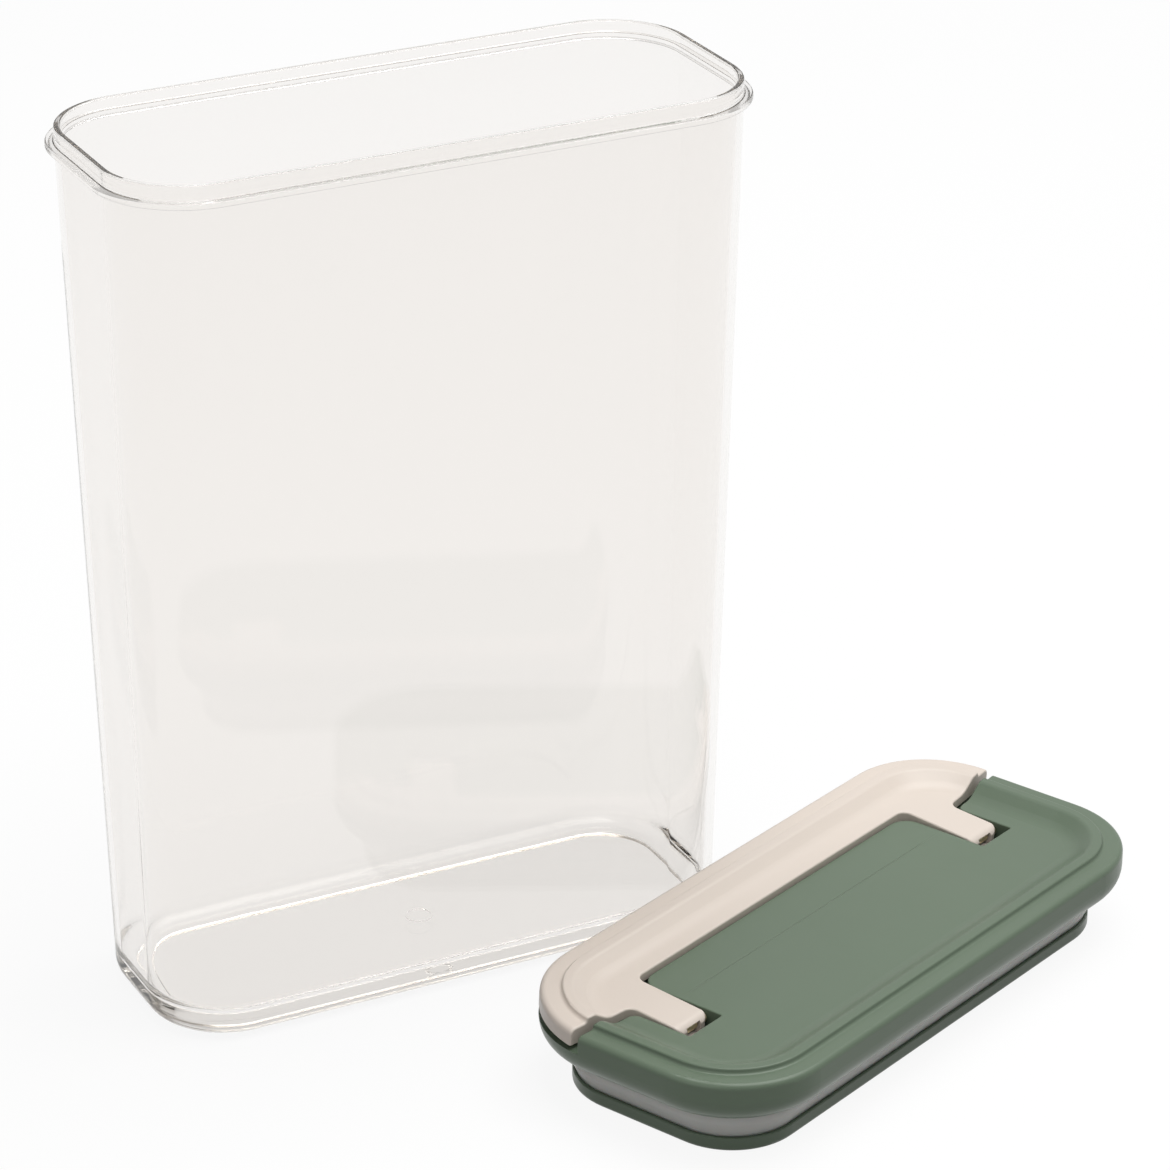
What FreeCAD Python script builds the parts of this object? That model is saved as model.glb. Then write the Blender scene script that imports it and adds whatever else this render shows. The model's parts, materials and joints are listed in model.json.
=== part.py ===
"""Clear slim storage jar with a sealing lid, which lies beside it.

Lengths are millimetres and angles are degrees. The jar stands on Z = 0, centred on the Z axis,
with its long side along X. The lid is modelled in its own frame, with Z = 0 under its base plate,
its long side along x and the lever at +y, and is then turned and moved to where it lies.
"""
import FreeCAD, Part
import math
import os

Vector = FreeCAD.Vector
Z_AXIS = Vector(0, 0, 1)
X_AXIS = Vector(1, 0, 0)

# Jar
JAR_LENGTH = 190.0
JAR_DEPTH = 78.6
JAR_HEIGHT = 261.5
JAR_CORNER = 24.6
JAR_LEAN = 4.8
JAR_FOOT_RADIUS = 6.5
FOOT_WALL = 2.4
FOOT_LAND = 1.2
FLOOR_THICKNESS = 5.6
FLOOR_RISE = 1.0
FLOOR_RADIUS = 5.0
RECESS_RADIUS = 0.6

# Neck and flange of the jar
NECK_WALL = 2.0
NECK_HEIGHT = 4.2
RIM_EDGE = 0.7
FLANGE_REACH = 2.5
FLANGE_THICKNESS = 1.8
FLANGE_EDGE = 0.6
FLANGE_ROOT = 0.5

# Where the lid lies
LID_X = 93.0
LID_Y = -88.7
LID_TURN = 24.2

# Lid cover
COVER_OVERHANG = 6.0
COVER_SKIN = 2.0
SKIRT_HEIGHT = 13.8
SKIRT_EDGE = 0.9
SKIRT_ROUND = 0.4
BELLY_RISE = 3.0
BELLY_RADIUS = 8.0
LEDGE_HEIGHT = 26.8
LEDGE_WIDTH = 5.9
RIM_ROUND = 1.8
STEP_ROUND = 1.0
CREST_RISE = 1.5
CREST_RUN = 0.5
CREST_WIDTH = 3.0
CREST_ROUND = 0.6
CREST_RADIUS = 2.5
PANEL_DROP = 2.0
SLOPE_RUN = 5.5
SLOPE_RADIUS = 8.0
CORE_LAP = 1.0
NECK_FIT = 0.5
FLANGE_FIT = 0.4

# Lever
LEVER_BACK_INSET = 15.4
LEVER_CUT_INSET = 21.3
LEVER_SHOULDER_INSET = 23.8
ARM_INSET = 24.0
ARM_WIDTH = 13.0
ARM_TIP_ROUND = 2.4
ARM_ROOT_ROUND = 3.0
INNER_CORNER = 3.0
LEVER_EDGE = 0.6
LEVER_TRAVEL = 90.0
REST_TURN = 4.2
PIVOT_Y = 0.8
PIVOT_DROP = 3.1
TIP_FLAT = 0.2
WINDOW_WIDTH = 6.0
WINDOW_HEIGHT = 3.9
WINDOW_RAISE_SHARE = 0.5

# Room left round the lever in the cover
LEVER_GAP = 0.8
LEVER_LIFT = 0.4
CUT_GAP = 2.6
SHOULDER_GAP = 2.2
TIP_GAP = 4.1
SLOT_CORNER = 0.6
PANEL_CORNER = 6.0
PANEL_EDGE = 0.4
SCOOP_WIDTH = 46.0
SCOOP_FLARE = 5.0
SCOOP_DEPTH = 3.0
SCOOP_HEIGHT = 5.5
SCOOP_ROUND = 4.0

# Cam, pins and posts
SEAL_STROKE = 3.2
FOLLOWER_BACK = 5.3
FOLLOWER_DROP = 2.8
WEB_THICKNESS = 4.0
CAM_WALL = 1.4
CAM_FIT = 0.15
PIVOT_RADIUS = 1.75
FOLLOWER_RADIUS = 0.9
PIN_BREAK = 0.25
RUNNING_FIT = 0.05
PRESS_FIT = 0.02
TINE = 2.4
TINE_FIT = 0.3
EYE_RADIUS = 1.7
FORK_DEPTH = 7.4
POST_FIT = 0.4

# Under cover and its screws
SEAL_SPACE = 4.1
UNDER_SKIN = 1.8
SEAT_SKIN = 1.5
UNDER_FIT = 0.3
TUB_CLEARANCE = 4.0
PILLAR_X_SHARE = 0.2
PILLAR_Y_SHARE = 0.2
PILLAR_RADIUS = 3.2
SCREW_RADIUS = 1.25
SCREW_HEAD_RADIUS = 2.6
SCREW_HEAD_HEIGHT = 1.6
SCREW_LENGTH = 10.0
SCREW_SLOT = 0.6
SCREW_FIT = 0.02

# Base plate and seal
PLATE_CLEARANCE = 1.4
PLATE_EDGE_HEIGHT = 4.4
PLATE_SKIN = 2.4
PLATE_ROUND = 1.4
PLATE_BREAK = 0.5
PLATE_RECESS = 0.6
PLATE_BORDER = 9.0
SPIGOT_GAP = 0.5
SOCKET_WALL = 1.6
SOCKET_HEIGHT = 5.5
SOCKET_FIT = 0.1
BARB_DEPTH = 0.5
BARB_HEIGHT = 1.4
BARB_LIFT = 2.2
SEAL_FOOT_INSET = 0.9
SEAL_FOOT_HEIGHT = 0.6
SEAL_BULGE = 0.8
SEAL_BULGE_RADIUS = 5.0
SEAL_WALL = 2.2
SEAL_LAND = 2.6
SEAL_FIT = 0.15

# Working values
OVERRUN = 1.0
WELD = 1e-6
ARC_ROOM_SHARE = 0.999
CAM_STEPS = 8
SHARP_ANGLE = 35.0

# Heights and places in the lid's frame
ARM_CENTRE = JAR_LENGTH / 2 - ARM_INSET
LEVER_BACK = JAR_DEPTH / 2 - LEVER_BACK_INSET
LEVER_CUT = JAR_DEPTH / 2 - LEVER_CUT_INSET
LEVER_SHOULDER = JAR_DEPTH / 2 - LEVER_SHOULDER_INSET
LID_HEIGHT = LEDGE_HEIGHT + CREST_RISE
PANEL_HEIGHT = LEDGE_HEIGHT - PANEL_DROP
PIVOT_Z = PANEL_HEIGHT - PIVOT_DROP
DECK_HEIGHT = PIVOT_Z - LEVER_LIFT
ARM_TIP = PIVOT_Y - PIVOT_DROP + TIP_FLAT
SEAT_HEIGHT = SKIRT_HEIGHT + NECK_HEIGHT - FLANGE_FIT
TUB_LOW = PLATE_EDGE_HEIGHT + TUB_CLEARANCE
TUB_FLOOR = TUB_LOW + UNDER_SKIN
FOLLOWER_Y = PIVOT_Y + FOLLOWER_BACK
FOLLOWER_Z = PIVOT_Z - FOLLOWER_DROP - SEAL_STROKE * REST_TURN / LEVER_TRAVEL
POST_WIDTH = WEB_THICKNESS + 2 * TINE_FIT + 2 * TINE

# Where the screw pillars stand in the lid
PILLAR_X = JAR_LENGTH * PILLAR_X_SHARE
PILLAR_Y = JAR_DEPTH * PILLAR_Y_SHARE
PILLARS = {"front_left": (-PILLAR_X, -PILLAR_Y), "front_right": (PILLAR_X, -PILLAR_Y),
           "back_left": (-PILLAR_X, PILLAR_Y), "back_right": (PILLAR_X, PILLAR_Y)}

# Outlines that more than one piece follows: length, depth, corner radius
NECK_OUTER = (JAR_LENGTH, JAR_DEPTH, JAR_CORNER)


def grown(outline, amount):
    """The rounded rectangle that lies this far outside another one."""
    length, depth, corner = outline
    return length + 2 * amount, depth + 2 * amount, corner + amount


NECK_INNER = grown(NECK_OUTER, -NECK_WALL)
COVER_OUTER = grown(NECK_OUTER, COVER_OVERHANG)
COVER_CAVITY = grown(NECK_OUTER, NECK_FIT)
SEAL_INNER = grown(NECK_INNER, -SEAL_SPACE)
PLATE_OUTER = grown(NECK_INNER, -PLATE_CLEARANCE)


def in_plan(z):
    """Places an outline's two coordinates in the horizontal plane at height z."""
    return lambda a, b: Vector(a, b, z)


def in_section(a, b):
    """Places a side profile's two coordinates in the upright plane through X."""
    return Vector(a, 0, b)


def rounded_wire(corners, place):
    """Closed wire through corners (a, b, radius), each rounded by a tangent arc of its radius.

    Where two neighbouring arcs would meet on the line between them, both are made smaller to fit.
    """
    points = [Vector(a, b, 0) for a, b, radius in corners]
    following = points[1:] + points[:1]
    lengths = [(end - start).Length for start, end in zip(points, following)]
    ways = [(end - start).normalize() for start, end in zip(points, following)]
    halves = [(math.pi - ways[i - 1].getAngle(ways[i])) / 2 for i in range(len(points))]
    reaches = [radius / math.tan(half) for (a, b, radius), half in zip(corners, halves)]
    taken = [reach + reaches[(i + 1) % len(points)] for i, reach in enumerate(reaches)]
    fits = [min(1, length * ARC_ROOM_SHARE / (used + WELD)) for length, used in zip(lengths, taken)]
    ends = []
    for i, point in enumerate(points):
        reach = reaches[i] * min(fits[i - 1], fits[i])
        if reach == 0:
            ends.append((point, None, point))
            continue
        inward = (ways[i] - ways[i - 1]).normalize()
        gap = reach / math.cos(halves[i]) - reach * math.tan(halves[i])
        ends.append((point - ways[i - 1] * reach, point + inward * gap, point + ways[i] * reach))
    edges = []
    for i, (start, middle, end) in enumerate(ends):
        if middle is not None:
            arc = Part.Arc(*[place(p.x, p.y) for p in (start, middle, end)])
            edges.append(arc.toShape())
        target = ends[(i + 1) % len(ends)][0]
        if (target - end).Length > WELD:
            edges.append(Part.LineSegment(place(end.x, end.y), place(target.x, target.y)).toShape())
    return Part.Wire(Part.__sortEdges__(edges))


def prism(corners, low, high):
    """Upright solid over a rounded outline, between two heights."""
    face = Part.Face(rounded_wire(corners, in_plan(low)))
    return face.extrude(Z_AXIS * (high - low))


def rectangle(x_low, x_high, y_low, y_high, radius=0):
    """Corners of a rectangle with equally rounded corners."""
    places = ((x_low, y_low), (x_high, y_low), (x_high, y_high), (x_low, y_high))
    return [(x, y, radius) for x, y in places]


def slab(outline, low, high):
    """Upright solid over a rounded rectangle centred on the Z axis."""
    length, depth, corner = outline
    return prism(rectangle(-length / 2, length / 2, -depth / 2, depth / 2, corner), low, high)


def block(x_low, x_high, y_low, y_high, low, high):
    """Plain box between six faces."""
    return prism(rectangle(x_low, x_high, y_low, y_high), low, high)


def rod(start, end, radius):
    """Round bar between two points."""
    way = end - start
    return Part.makeCylinder(radius, way.Length, start, way)


def joined(pieces):
    """One solid made of pieces that touch or overlap, without seams between their faces."""
    return pieces[0].multiFuse(pieces[1:]).removeSplitter()


def band(profile, outline):
    """Solid ring with a closed side profile (inset, z, radius) carried round a rounded rectangle."""
    length, depth, corner = outline
    turned_in = [(corner - inset, z, radius) for inset, z, radius in profile]
    face = Part.Face(rounded_wire(turned_in, in_section))
    half_length = length / 2 - corner
    half_depth = depth / 2 - corner
    centres = [Vector(half_length, half_depth, 0), Vector(-half_length, half_depth, 0),
               Vector(-half_length, -half_depth, 0), Vector(half_length, -half_depth, 0)]
    quarter = 90
    pieces = []
    for i, centre in enumerate(centres):
        bend = face.copy()
        bend.rotate(Vector(0, 0, 0), Z_AXIS, quarter * i)
        bend = bend.revolve(Vector(0, 0, 0), Z_AXIS, quarter)
        bend.translate(centre)
        side = face.copy()
        side.rotate(Vector(0, 0, 0), Z_AXIS, quarter * (i + 1))
        side.translate(centre)
        pieces += [bend, side.extrude(centres[(i + 1) % len(centres)] - centre)]
    return joined(pieces)


def form(side, outline):
    """Filled solid whose side profile, from bottom to top, is carried round a rounded rectangle."""
    core = max(inset for inset, z, radius in side) + CORE_LAP
    low, high = side[0][1], side[-1][1]
    ring = band([(core, low, 0)] + side + [(core, high, 0)], outline)
    return joined([ring, slab(grown(outline, -core), low, high)])


def softened(shape, low, radius):
    """The piece with a small round on every sharp edge whose middle is above a height."""
    sharp = []
    for edge in shape.Edges:
        middle = edge.valueAt((edge.FirstParameter + edge.LastParameter) / 2)
        normals = [face.normalAt(*face.Surface.parameter(middle))
                   for face in shape.ancestorsOfType(edge, Part.Face)]
        if middle.z > low and math.degrees(normals[0].getAngle(normals[-1])) > SHARP_ANGLE:
            sharp.append(edge)
    return shape.makeFillet(radius, sharp)


def mirrored(shape):
    """The same piece at the lid's other end."""
    return shape.mirror(Vector(0, 0, 0), X_AXIS)


def leaning(low_outline, high_outline, low, high, foot_radius):
    """Solid between two rounded rectangles at two heights, with its lower edges rounded."""
    wires = []
    for (length, depth, corner), z in ((low_outline, low), (high_outline, high)):
        corners = rectangle(-length / 2, length / 2, -depth / 2, depth / 2, corner)
        wires.append(rounded_wire(corners, in_plan(z)))
    solid = Part.makeLoft(wires, True, True)
    foot = [edge for edge in solid.Edges if edge.BoundBox.ZMax < low + foot_radius]
    return solid.makeFillet(foot_radius, foot)


def jar_body():
    """Jar: leaning walls, a flange below the neck and a thick clear floor with a shallow recess below."""
    flange_high = JAR_HEIGHT - NECK_HEIGHT
    flange_low = flange_high - FLANGE_THICKNESS
    foot_length, foot_depth = JAR_LENGTH - 2 * JAR_LEAN, JAR_DEPTH - 2 * JAR_LEAN
    foot = (foot_length, foot_depth, JAR_CORNER)
    walls = leaning(foot, NECK_OUTER, 0, flange_low, JAR_FOOT_RADIUS)
    neck = form([(NECK_WALL, flange_low, 0),
                 (-FLANGE_REACH, flange_low, FLANGE_EDGE),
                 (-FLANGE_REACH, flange_high, FLANGE_EDGE),
                 (0, flange_high, FLANGE_ROOT),
                 (0, JAR_HEIGHT, RIM_EDGE),
                 (NECK_WALL, JAR_HEIGHT, 0)], NECK_OUTER)
    inside = leaning(grown(foot, -FOOT_WALL), NECK_INNER, FLOOR_RISE + FLOOR_THICKNESS, JAR_HEIGHT, FLOOR_RADIUS)
    mouth = slab(NECK_INNER, JAR_HEIGHT, JAR_HEIGHT + OVERRUN)
    recess = form([(0, -OVERRUN, 0),
                   (0, FLOOR_RISE, RECESS_RADIUS),
                   (RECESS_RADIUS, FLOOR_RISE, 0)], grown(foot, -(JAR_FOOT_RADIUS + FOOT_LAND)))
    jar = joined([walls, neck]).cut(joined([inside, mouth])).cut(recess)
    return softened(jar, JAR_HEIGHT - RIM_EDGE / 2, RIM_EDGE)


def lid_form():
    """Outer shape of the closed lid: skirt, wall, ledge, raised crest and the lower panel."""
    skirt_inset = COVER_OVERHANG - NECK_FIT
    crest_inset = LEDGE_WIDTH + CREST_RUN
    fall_inset = crest_inset + CREST_WIDTH
    slope_end = fall_inset + SLOPE_RUN
    flat_inset = slope_end + SLOPE_RUN
    return form([(skirt_inset, SKIRT_HEIGHT, 0),
                 (skirt_inset - SKIRT_EDGE, SKIRT_HEIGHT, SKIRT_ROUND),
                 (0, SKIRT_HEIGHT + BELLY_RISE, BELLY_RADIUS),
                 (0, LEDGE_HEIGHT, RIM_ROUND),
                 (LEDGE_WIDTH, LEDGE_HEIGHT, STEP_ROUND),
                 (crest_inset, LID_HEIGHT, CREST_ROUND),
                 (fall_inset, LID_HEIGHT, CREST_RADIUS),
                 (slope_end, PANEL_HEIGHT, SLOPE_RADIUS),
                 (flat_inset, PANEL_HEIGHT, 0)], COVER_OUTER)


def lever_plan(side_gap, cut_gap, shoulder_gap, tip_gap, corner, tip_round):
    """Corners of the lever's U shape seen from above, with room added round it."""
    inner = ARM_CENTRE - ARM_WIDTH / 2 - side_gap
    outer = ARM_CENTRE + ARM_WIDTH / 2 + side_gap
    tip = ARM_TIP - tip_gap
    back = LEVER_BACK - side_gap
    shoulder = LEVER_SHOULDER - shoulder_gap
    end_x = COVER_OUTER[0] / 2
    half = [(inner, back, corner),
            (inner, tip, tip_round),
            (outer, tip, tip_round),
            (outer, shoulder, ARM_ROOT_ROUND),
            (end_x, LEVER_CUT - cut_gap, 0),
            (end_x + OVERRUN, LEVER_CUT - cut_gap, 0),
            (end_x + OVERRUN, COVER_OUTER[1] / 2 + OVERRUN, 0)]
    return half + [(-x, y, radius) for x, y, radius in reversed(half)]


def cam_point(turn_share):
    """Centre of the cam slot in the flat lever, met by the follower after this share of the turn."""
    turn = math.radians(LEVER_TRAVEL * turn_share)
    drop = FOLLOWER_DROP + SEAL_STROKE * turn_share
    across = FOLLOWER_BACK * math.cos(turn) - drop * math.sin(turn)
    up = -FOLLOWER_BACK * math.sin(turn) - drop * math.cos(turn)
    return Vector(0, PIVOT_Y + across, PIVOT_Z + up)


def cam_slot(half_width, x_low, x_high):
    """Solid along the cam slot's centre line, rounded at both ends."""
    line = [cam_point(i / CAM_STEPS) for i in range(CAM_STEPS + 1)]
    tangents = [line[1] - line[0]]
    tangents += [line[i + 1] - line[i - 1] for i in range(1, CAM_STEPS)]
    tangents += [line[-1] - line[-2]]
    tangents = [t.normalize() for t in tangents]
    sides = []
    for hand in (1, -1):
        edge = Part.BSplineCurve()
        edge.interpolate([p + X_AXIS.cross(t) * (half_width * hand) for p, t in zip(line, tangents)])
        sides.append(edge)
    ends = []
    for point, outward in ((line[-1], tangents[-1]), (line[0], -tangents[0])):
        across = X_AXIS.cross(outward) * half_width
        ends.append(Part.Arc(point - across, point + outward * half_width, point + across))
    wire = Part.Wire(Part.__sortEdges__([curve.toShape() for curve in sides + ends]))
    solid = Part.Face(wire).extrude(X_AXIS * (x_high - x_low))
    solid.translate(X_AXIS * x_low)
    return solid


def lever_arm_works(plan):
    """What one lever arm carries below its top half: the pivot boss and the cam's web."""
    x_low = ARM_CENTRE - ARM_WIDTH / 2
    x_high = ARM_CENTRE + ARM_WIDTH / 2
    boss = rod(Vector(x_low, PIVOT_Y, PIVOT_Z), Vector(x_high, PIVOT_Y, PIVOT_Z), PIVOT_DROP)
    boss = boss.common(prism(plan, PIVOT_Z - PIVOT_DROP, PIVOT_Z))
    web_low = ARM_CENTRE - WEB_THICKNESS / 2
    web_high = ARM_CENTRE + WEB_THICKNESS / 2
    slot_half = FOLLOWER_RADIUS + CAM_FIT
    rim = cam_slot(slot_half + CAM_WALL, web_low, web_high)
    spread = [Vector(0, PIVOT_Y, PIVOT_Z)] + [cam_point(share) for share in (0, 1 / 2, 1)]
    fan = Part.Face(Part.makePolygon(spread + spread[:1])).extrude(X_AXIS * WEB_THICKNESS)
    fan.translate(X_AXIS * web_low)
    slot = cam_slot(slot_half, web_low - OVERRUN, web_high + OVERRUN)
    return joined([boss, rim, fan]).cut(slot)


def lever_arm_cuts():
    """What is cut from one lever arm: its rounded tip, its pivot bore and the pin window."""
    x_low = ARM_CENTRE - ARM_WIDTH / 2 - OVERRUN
    x_high = ARM_CENTRE + ARM_WIDTH / 2 + OVERRUN
    front = PIVOT_Y - PIVOT_DROP - OVERRUN
    ahead = block(x_low, x_high, front, PIVOT_Y, PIVOT_Z, LID_HEIGHT)
    pivot_line = (Vector(x_low, PIVOT_Y, PIVOT_Z), Vector(x_high, PIVOT_Y, PIVOT_Z))
    tip = ahead.cut(rod(*pivot_line, PIVOT_DROP))
    bore = rod(*pivot_line, PIVOT_RADIUS + RUNNING_FIT)
    window_top = PIVOT_Z + WINDOW_HEIGHT * WINDOW_RAISE_SHARE
    window = block(ARM_CENTRE - WINDOW_WIDTH / 2, ARM_CENTRE + WINDOW_WIDTH / 2, front, PIVOT_Y,
                   window_top - WINDOW_HEIGHT, window_top)
    return tip, bore, window


def flip_lever(whole):
    """Lever: the back half of the rim with two arms, which end in pivot bosses and cams.

    It rests a few degrees up from lying flat in the cover.
    """
    plan = lever_plan(0, 0, 0, 0, INNER_CORNER, ARM_TIP_ROUND)
    lever = whole.common(prism(plan, PIVOT_Z, LID_HEIGHT + OVERRUN))
    works = lever_arm_works(plan)
    tip, bore, window = lever_arm_cuts()
    lever = lever.cut(tip).cut(mirrored(tip))
    lever = softened(lever, PIVOT_Z + LEVER_EDGE, LEVER_EDGE)
    lever = joined([lever, works, mirrored(works)])
    for tool in (bore, window):
        lever = lever.cut(tool).cut(mirrored(tool))
    lever.rotate(Vector(0, PIVOT_Y, PIVOT_Z), X_AXIS, REST_TURN)
    return lever


def lid_cover(whole):
    """Cover: hollow top shell with a deck below the lever, slots for its arms and screw pillars."""
    recess = prism(lever_plan(LEVER_GAP, CUT_GAP, SHOULDER_GAP, TIP_GAP, PANEL_CORNER, SLOT_CORNER),
                   DECK_HEIGHT, LID_HEIGHT + OVERRUN)
    walls = prism(lever_plan(LEVER_GAP + COVER_SKIN, CUT_GAP + COVER_SKIN, SHOULDER_GAP + COVER_SKIN,
                             TIP_GAP + COVER_SKIN, PANEL_CORNER, SLOT_CORNER),
                  DECK_HEIGHT - COVER_SKIN, PANEL_HEIGHT)
    low_hollow = slab(COVER_CAVITY, SKIRT_HEIGHT - OVERRUN, DECK_HEIGHT - COVER_SKIN)
    high_hollow = slab(COVER_CAVITY, DECK_HEIGHT - COVER_SKIN, PANEL_HEIGHT - COVER_SKIN).cut(walls)
    sweep = FOLLOWER_BACK + FOLLOWER_DROP + SEAL_STROKE
    slot = block(ARM_CENTRE - ARM_WIDTH / 2 - LEVER_GAP, ARM_CENTRE + ARM_WIDTH / 2 + LEVER_GAP,
                 ARM_TIP - TIP_GAP + 2 * SLOT_CORNER, PIVOT_Y + sweep,
                 DECK_HEIGHT - COVER_SKIN - OVERRUN, PANEL_HEIGHT)
    cover = softened(whole.cut(recess), DECK_HEIGHT + PANEL_EDGE, PANEL_EDGE)
    cover = cover.cut(low_hollow).cut(high_hollow).cut(slot).cut(mirrored(slot)).cut(finger_scoop())
    reach = ARM_WIDTH / 2 + LEVER_GAP + COVER_SKIN + OVERRUN
    bore = rod(Vector(ARM_CENTRE - reach, PIVOT_Y, PIVOT_Z), Vector(ARM_CENTRE + reach, PIVOT_Y, PIVOT_Z),
               PIVOT_RADIUS + PRESS_FIT)
    cover = cover.cut(bore).cut(mirrored(bore))
    pillars = [rod(Vector(x, y, TUB_FLOOR), Vector(x, y, PANEL_HEIGHT - COVER_SKIN), PILLAR_RADIUS)
               for x, y in PILLARS.values()]
    return joined([cover] + pillars).cut(screw_holes())


def finger_scoop():
    """Hollow in the cover's back wall, below the lever's edge, for a fingertip."""
    back = COVER_OUTER[1] / 2
    half = SCOOP_WIDTH / 2
    corners = [(half, back, 0),
               (half, back + OVERRUN, 0),
               (-half, back + OVERRUN, 0),
               (-half, back, 0),
               (-half + SCOOP_FLARE, back - SCOOP_DEPTH, SCOOP_ROUND),
               (half - SCOOP_FLARE, back - SCOOP_DEPTH, SCOOP_ROUND)]
    return prism(corners, DECK_HEIGHT - SCOOP_HEIGHT, DECK_HEIGHT)


def screw_holes():
    """Bores for the screws, through the tub's floor and up into the cover's pillars."""
    return Part.makeCompound([rod(Vector(x, y, TUB_LOW - OVERRUN), Vector(x, y, TUB_LOW + SCREW_LENGTH),
                                  SCREW_RADIUS + SCREW_FIT) for x, y in PILLARS.values()])


def under_cover():
    """Tub below the cover: a seat for the jar's rim, the seal's inner wall and a floor with holes."""
    seat = slab(grown(COVER_CAVITY, -UNDER_FIT), SEAT_HEIGHT, SEAT_HEIGHT + SEAT_SKIN)
    tub = slab(SEAL_INNER, TUB_LOW, SEAT_HEIGHT + SEAT_SKIN)
    hollow = slab(grown(SEAL_INNER, -UNDER_SKIN), TUB_FLOOR, SEAT_HEIGHT + SEAT_SKIN + OVERRUN)
    half_width = POST_WIDTH / 2 + POST_FIT
    half_depth = EYE_RADIUS + POST_FIT
    way = block(ARM_CENTRE - half_width, ARM_CENTRE + half_width, FOLLOWER_Y - half_depth,
                FOLLOWER_Y + half_depth, TUB_LOW - OVERRUN, TUB_FLOOR + OVERRUN)
    return joined([seat, tub]).cut(hollow).cut(way).cut(mirrored(way)).cut(screw_holes())


def cover_screw(x, y):
    """Slotted screw through the tub's floor into one of the cover's pillars."""
    foot = Vector(x, y, TUB_LOW)
    head_low = foot - Z_AXIS * SCREW_HEAD_HEIGHT
    head = rod(head_low, foot, SCREW_HEAD_RADIUS)
    shank = rod(foot, foot + Z_AXIS * SCREW_LENGTH, SCREW_RADIUS)
    slot = block(x - SCREW_HEAD_RADIUS, x + SCREW_HEAD_RADIUS, y - SCREW_SLOT / 2, y + SCREW_SLOT / 2,
                 head_low.z, head_low.z + SCREW_HEAD_HEIGHT / 2)
    return joined([head, shank]).cut(slot)


def round_pin(half_length, y, z, radius):
    """Straight pin along the lid at one lever arm, with its ends broken."""
    pin = rod(Vector(ARM_CENTRE - half_length, y, z), Vector(ARM_CENTRE + half_length, y, z), radius)
    ends = [edge for edge in pin.Edges if edge.isClosed()]
    return pin.makeChamfer(PIN_BREAK, ends)


def pivot_pin():
    """Pin that the lever turns on, held in the two walls beside its arm."""
    return round_pin(ARM_WIDTH / 2 + LEVER_GAP + COVER_SKIN - PIN_BREAK, PIVOT_Y, PIVOT_Z, PIVOT_RADIUS)


def follower_pin():
    """Pin in the post's fork that runs in the lever's cam slot."""
    return round_pin(POST_WIDTH / 2, FOLLOWER_Y, FOLLOWER_Z, FOLLOWER_RADIUS)


def pull_post():
    """Post that hangs the base plate from the cam: a fork above, a barbed foot below."""
    x_low = ARM_CENTRE - POST_WIDTH / 2
    x_high = ARM_CENTRE + POST_WIDTH / 2
    y_low = FOLLOWER_Y - EYE_RADIUS
    y_high = FOLLOWER_Y + EYE_RADIUS
    stem = block(x_low, x_high, y_low, y_high, PLATE_SKIN, FOLLOWER_Z)
    eye_line = (Vector(x_low, FOLLOWER_Y, FOLLOWER_Z), Vector(x_high, FOLLOWER_Y, FOLLOWER_Z))
    eye = rod(*eye_line, EYE_RADIUS)
    half_slot = WEB_THICKNESS / 2 + TINE_FIT
    slot = block(ARM_CENTRE - half_slot, ARM_CENTRE + half_slot, y_low - OVERRUN, y_high + OVERRUN,
                 FOLLOWER_Z - FORK_DEPTH, FOLLOWER_Z + EYE_RADIUS + OVERRUN)
    bore = rod(*eye_line, FOLLOWER_RADIUS + PRESS_FIT)
    barb_low = PLATE_SKIN + BARB_LIFT
    barb = block(x_low - BARB_DEPTH, x_high + BARB_DEPTH, FOLLOWER_Y - EYE_RADIUS / 2,
                 FOLLOWER_Y + EYE_RADIUS / 2, barb_low, barb_low + BARB_HEIGHT)
    return joined([stem, eye, barb]).cut(slot).cut(bore)


def base_plate():
    """Plate below the seal: a rounded edge, a spigot inside the seal and two sockets for the posts."""
    plate = form([(PLATE_ROUND, 0, 0),
                  (0, 0, PLATE_ROUND),
                  (0, PLATE_EDGE_HEIGHT, PLATE_BREAK),
                  (PLATE_ROUND, PLATE_EDGE_HEIGHT, 0)], PLATE_OUTER)
    spigot = slab(SEAL_INNER, PLATE_SKIN, TUB_LOW - SPIGOT_GAP)
    pocket = slab(grown(SEAL_INNER, -UNDER_SKIN), PLATE_SKIN, TUB_LOW)
    recess = slab(grown(PLATE_OUTER, -PLATE_BORDER), -OVERRUN, PLATE_RECESS)
    plate = joined([plate, spigot]).cut(pocket).cut(recess)
    half_width = POST_WIDTH / 2 + SOCKET_FIT
    half_depth = EYE_RADIUS + SOCKET_FIT
    top = PLATE_SKIN + SOCKET_HEIGHT
    outer_width = half_width + SOCKET_WALL
    outer_depth = half_depth + SOCKET_WALL
    wall = block(ARM_CENTRE - outer_width, ARM_CENTRE + outer_width, FOLLOWER_Y - outer_depth,
                 FOLLOWER_Y + outer_depth, PLATE_SKIN, top)
    hole = block(ARM_CENTRE - half_width, ARM_CENTRE + half_width, FOLLOWER_Y - half_depth,
                 FOLLOWER_Y + half_depth, PLATE_SKIN, top + OVERRUN)
    barb_low = PLATE_SKIN + BARB_LIFT
    window = block(ARM_CENTRE - outer_width - OVERRUN, ARM_CENTRE + outer_width + OVERRUN,
                   FOLLOWER_Y - EYE_RADIUS / 2 - SOCKET_FIT, FOLLOWER_Y + EYE_RADIUS / 2 + SOCKET_FIT,
                   barb_low - SOCKET_FIT, barb_low + BARB_HEIGHT + SOCKET_FIT)
    socket = wall.cut(hole).cut(window)
    return joined([plate, socket, mirrored(socket)])


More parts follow.
